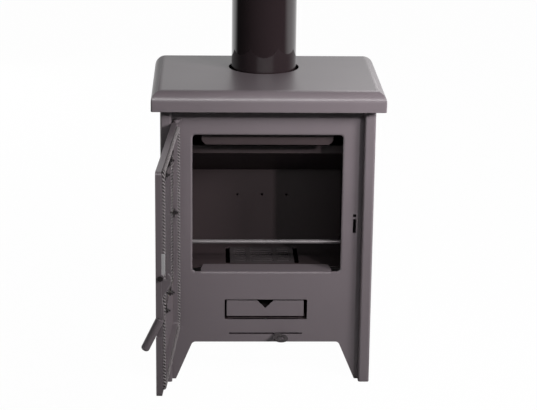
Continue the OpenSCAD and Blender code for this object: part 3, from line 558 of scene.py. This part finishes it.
def makeFloor():
    bpy.ops.mesh.primitive_plane_add(size=floorLook["wide"], location=(0, 0, -floorLook["drop"]))
    floor = bpy.context.object
    floor.name = "floor"
    material, tree, shader = startMaterial("studioFloor")
    shader.inputs["Base Color"].default_value = (floorLook["shade"],) * 3 + (1,)
    shader.inputs["Roughness"].default_value = floorLook["roughness"]
    shader.inputs["Specular IOR Level"].default_value = 0.0
    seen = addNode(tree, "ShaderNodeLightPath")
    mirrored = seen.outputs["Is Glossy Ray"]
    direct = mathNode(
        tree, "MAXIMUM", seen.outputs["Is Camera Ray"], seen.outputs["Is Transmission Ray"])
    shown = mathNode(tree, "MULTIPLY", direct, floorLook["glow"])
    share = mathNode(tree, "MAXIMUM", shown, mirrored)
    # in reflections the floor is white near the stove and behind it, and dark elsewhere
    where = addNode(tree, "ShaderNodeTexCoord")
    split = addNode(tree, "ShaderNodeSeparateXYZ")
    tree.links.new(where.outputs["Object"], split.inputs[0])
    # the near patch is wide to the sides and short to the front
    squash = addNode(tree, "ShaderNodeVectorMath", operation="MULTIPLY")
    squash.inputs[1].default_value = (floorLook["sideReach"], 1.0, 1.0)
    span = addNode(tree, "ShaderNodeVectorMath", operation="LENGTH")
    tree.links.new(where.outputs["Object"], squash.inputs[0])
    tree.links.new(squash.outputs[0], span.inputs[0])
    close = rampNode(tree, span.outputs["Value"], *floorLook["whiteNear"], 1, 0)
    across = mathNode(tree, "ABSOLUTE", split.outputs["X"], 0)
    outwards = mathNode(tree, "ADD", across, split.outputs["Y"])
    beside = rampNode(tree, outwards, *floorLook["beside"], 0, 1)
    clear = rampNode(tree, across, *floorLook["clear"], 0, 1)
    near = mathNode(tree, "MULTIPLY", close, mathNode(tree, "MULTIPLY", beside, clear))
    aside = mathNode(tree, "MULTIPLY", split.outputs["X"], floorLook["aside"])
    backwards = mathNode(tree, "ADD", split.outputs["Y"], aside)
    behind = rampNode(tree, backwards, *floorLook["behind"], studio["darkRoom"], 1)
    white = mathNode(tree, "MAXIMUM", near, behind)
    dimmed = mathNode(tree, "MULTIPLY", mirrored, mathNode(tree, "SUBTRACT", 1.0, white))
    glow = addNode(tree, "ShaderNodeEmission")
    tree.links.new(mathNode(tree, "SUBTRACT", 1.0, dimmed), glow.inputs["Strength"])
    mix = addNode(tree, "ShaderNodeMixShader")
    tree.links.new(share, mix.inputs[0])
    tree.links.new(shader.outputs[0], mix.inputs[1])
    tree.links.new(glow.outputs[0], mix.inputs[2])
    tree.links.new(mix.outputs[0], tree.nodes["Material Output"].inputs["Surface"])
    paint(floor, material)


def makeWorld():
    world = bpy.data.worlds.new("studioWorld")
    bpy.context.scene.world = world
    world.use_nodes = True
    tree = world.node_tree
    background = tree.nodes["Background"]
    background.inputs["Color"].default_value = (1, 1, 1, 1)
    seen = addNode(tree, "ShaderNodeLightPath")
    either = mathNode(
        tree, "MAXIMUM", seen.outputs["Is Camera Ray"], seen.outputs["Is Transmission Ray"])
    # reflections see white walls beside and behind, under a dark ceiling, in front of a dark room
    where = addNode(tree, "ShaderNodeTexCoord")
    split = addNode(tree, "ShaderNodeSeparateXYZ")
    tree.links.new(where.outputs["Generated"], split.inputs[0])
    behind = rampNode(tree, split.outputs["Y"], *worldLook["behind"], 0, 1)
    low = rampNode(tree, split.outputs["Z"], *worldLook["low"], 1, 0)
    right = rampNode(tree, split.outputs["X"], *worldLook["right"],
                     worldLook["leftWall"], worldLook["rightWall"])
    wall = mathNode(tree, "MULTIPLY", mathNode(tree, "MULTIPLY", behind, low), right)
    room = mathNode(tree, "MAXIMUM", wall, studio["darkRoom"])
    plain = addNode(tree, "ShaderNodeMix")
    plain.inputs["A"].default_value = studio["worldLight"]
    tree.links.new(seen.outputs["Is Glossy Ray"], plain.inputs["Factor"])
    tree.links.new(room, plain.inputs["B"])
    strength = mathNode(tree, "MAXIMUM", either, plain.outputs["Result"])
    tree.links.new(strength, background.inputs["Strength"])


def makeLamp(name, azimuth, height, distance, wide, tall, power, aim, spread, mirrored=True):
    # it looks at a point over the middle of the floor, given as right and up
    lamp = bpy.data.lights.new(name, "AREA")
    lamp.shape = "RECTANGLE"
    lamp.size, lamp.size_y = wide, tall
    lamp.energy = power
    lamp.spread = math.radians(spread)
    holder = bpy.data.objects.new(name, lamp)
    bpy.context.scene.collection.objects.link(holder)
    holder.visible_glossy = mirrored
    a, h = math.radians(azimuth), math.radians(height)
    away = Vector((math.sin(a) * math.cos(h), -math.cos(a) * math.cos(h), math.sin(h)))
    holder.location = Vector(studio["lampsRound"]) + away * distance
    backwards = holder.location - Vector((aim[0], 0, aim[1]))
    holder.rotation_mode = "QUATERNION"
    holder.rotation_quaternion = backwards.to_track_quat("Z", "Y")


def measuredAxes():
    cy, sy = math.cos(camera["turn"]), math.sin(camera["turn"])
    cp, sp = math.cos(camera["down"]), math.sin(camera["down"])
    cr, sr = math.cos(camera["roll"]), math.sin(camera["roll"])
    turn = Matrix(((cy, sy, 0), (-sy, cy, 0), (0, 0, 1)))
    tilt = Matrix(((1, 0, 0), (0, cp, -sp), (0, sp, cp)))
    roll = Matrix(((cr, 0, sr), (0, 1, 0), (-sr, 0, cr)))
    rows = roll @ tilt @ turn
    return Vector(rows[0]), Vector(rows[1]), Vector(rows[2])


def makeCamera():
    lens = bpy.data.cameras.new("camera")
    lens.sensor_width = camera["sensor"]
    lens.lens = camera["focalPixels"] / camera["pictureWidth"] * camera["sensor"]
    lens.clip_start, lens.clip_end = camera["near"], camera["far"]
    holder = bpy.data.objects.new("camera", lens)
    bpy.context.scene.collection.objects.link(holder)
    right, forward, up = measuredAxes()
    axes = Matrix((right, up, -forward)).transposed()
    holder.matrix_world = Matrix.Translation(place(*camera["place"])) @ axes.to_4x4()
    bpy.context.scene.camera = holder


makeFloor()
makeWorld()
for lampName, lampValues in studio["lamps"].items():
    makeLamp(lampName, **lampValues)
makeCamera()
bpy.context.scene.view_settings.view_transform = "Standard"
print("stage: studio")
